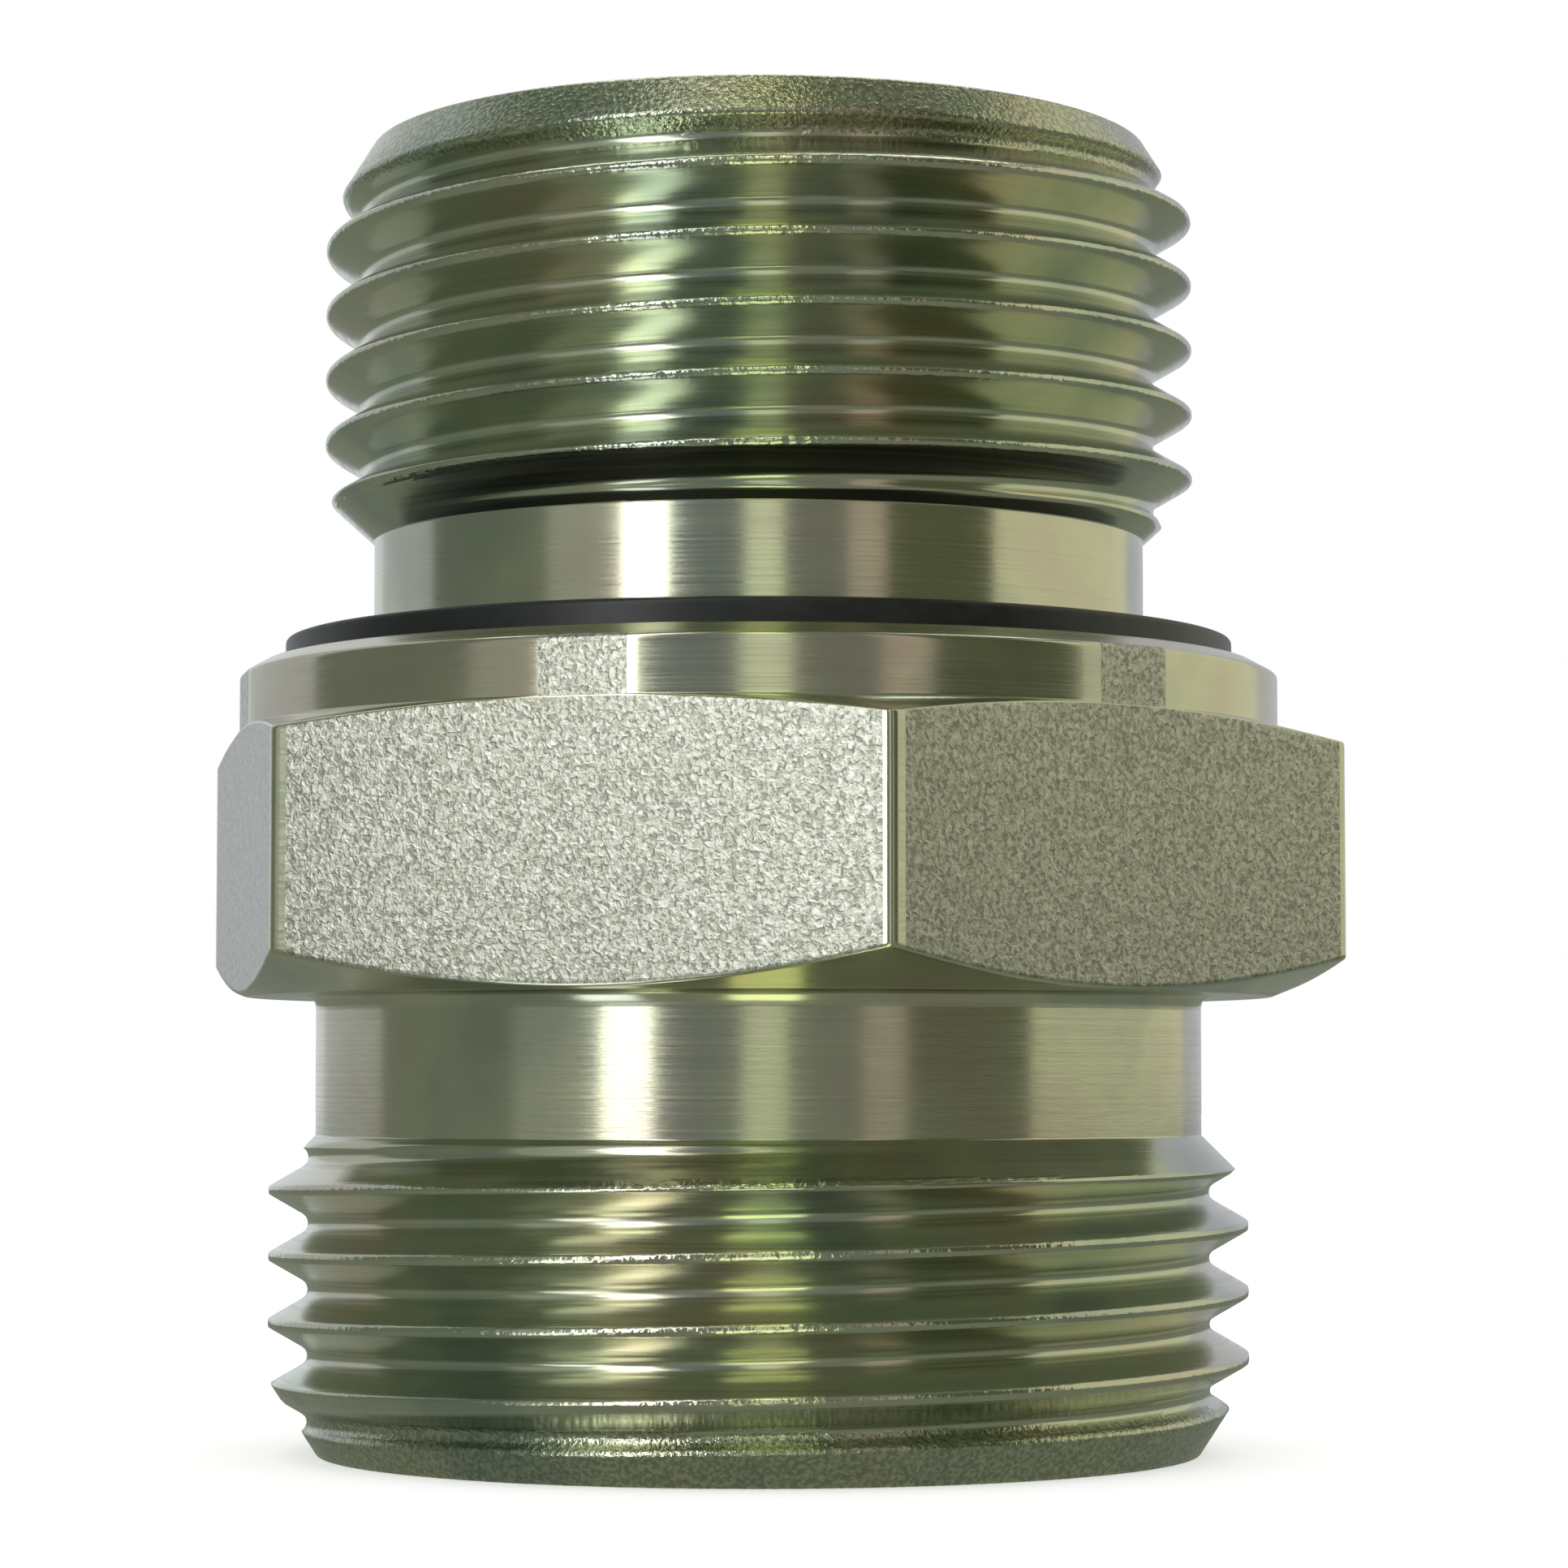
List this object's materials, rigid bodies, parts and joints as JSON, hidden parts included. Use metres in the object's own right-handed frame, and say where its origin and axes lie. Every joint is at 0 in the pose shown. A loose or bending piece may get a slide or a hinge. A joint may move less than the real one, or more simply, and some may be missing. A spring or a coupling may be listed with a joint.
{
  "type": "hydraulic adapter",
  "caption": "Straight hydraulic adapter: 24 degree cone tube end with male thread, spanner hexagon, and a sealed male stud for the port.",
  "frame": {"origin": "centre of the tube end's face, which the adapter stands on", "axes": "+Z along the bore from the tube end to the stud end, -Y square to one flat of the hexagon, +X towards the next corner but one"},
  "size_m": [0.0366, 0.0318, 0.04],
  "materials": {
    "plated_steel": "zinc plated, threads and collar turned, hexagon left as forged and blasted",
    "black_seal": "smooth moulded elastomer"
  },
  "bodies": {
    "root": {"adapter_body": "plated_steel", "seal_ring": "black_seal"}
  },
  "joints": []
}
